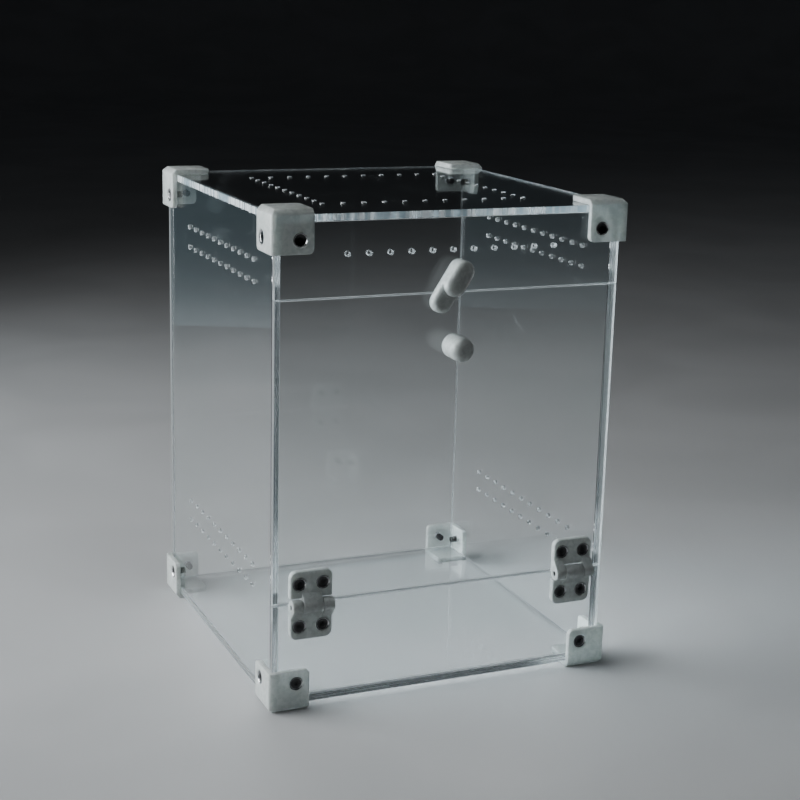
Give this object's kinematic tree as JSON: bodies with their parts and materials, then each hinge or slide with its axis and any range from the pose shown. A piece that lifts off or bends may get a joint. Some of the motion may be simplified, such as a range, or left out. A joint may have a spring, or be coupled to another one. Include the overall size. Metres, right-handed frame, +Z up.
{
  "type": "acrylic terrarium",
  "caption": "Tall clear acrylic box for small pets, with milky corner caps, vent holes, a drop-down front door on butt hinges, a pull knob and a turn latch",
  "frame": {"origin": "centre of the bounding box's underside, on the plane of the four feet. The middle of the cabin lies 5.3 mm behind it, because the knob stands out in front.", "axes": "+Z up, -Y towards the door and the user, +X to the right as seen from the front"},
  "size_m": [0.1548, 0.1654, 0.2048],
  "materials": {
    "clear_acrylic": "clear cast acrylic sheet with flame-bright laser-cut edges",
    "milky_plastic": "milky translucent moulded plastic, fine matte surface",
    "screw_steel": "polished button-head screws and hinge pins"
  },
  "bodies": {
    "enclosure": {"back_panel": "clear_acrylic", "corner_cap_bottom_back_left": "milky_plastic", "corner_cap_bottom_back_right": "milky_plastic", "corner_cap_bottom_front_left": "milky_plastic", "corner_cap_bottom_front_right": "milky_plastic", "corner_cap_top_back_left": "milky_plastic", "corner_cap_top_back_right": "milky_plastic", "corner_cap_top_front_left": "milky_plastic", "corner_cap_top_front_right": "milky_plastic", "corner_screws_bottom_back_left": "screw_steel", "corner_screws_bottom_back_right": "screw_steel", "corner_screws_bottom_front_left": "screw_steel", "corner_screws_bottom_front_right": "screw_steel", "corner_screws_top_back_left": "screw_steel", "corner_screws_top_back_right": "screw_steel", "corner_screws_top_front_left": "screw_steel", "corner_screws_top_front_right": "screw_steel", "floor_panel": "clear_acrylic", "left_hinge_fixed_leaf": "milky_plastic", "left_hinge_fixed_screws": "screw_steel", "left_hinge_pin": "screw_steel", "left_panel": "clear_acrylic", "lower_front_panel": "clear_acrylic", "right_hinge_fixed_leaf": "milky_plastic", "right_hinge_fixed_screws": "screw_steel", "right_panel": "clear_acrylic", "top_panel": "clear_acrylic", "upper_front_panel": "clear_acrylic"},
    "door": {"door_panel": "clear_acrylic", "door_knob": "milky_plastic", "door_knob_screw": "screw_steel", "right_hinge_pin": "screw_steel", "left_hinge_door_leaf": "milky_plastic", "left_hinge_door_screws": "screw_steel", "right_hinge_door_leaf": "milky_plastic", "right_hinge_door_screws": "screw_steel"},
    "latch": {"latch_lever": "milky_plastic", "latch_screw": "screw_steel"}
  },
  "joints": [
    {"name": "door_hinge", "type": "hinge", "parent": "enclosure", "child": "door", "pos_m": [0, -0.073, 0.0454], "axis": [1, 0, 0], "range_deg": [0, 108]},
    {"name": "latch_turn", "type": "hinge", "parent": "enclosure", "child": "latch", "pos_m": [0, -0.0697, 0.1759], "axis": [0, -1, 0], "continuous": true}
  ]
}
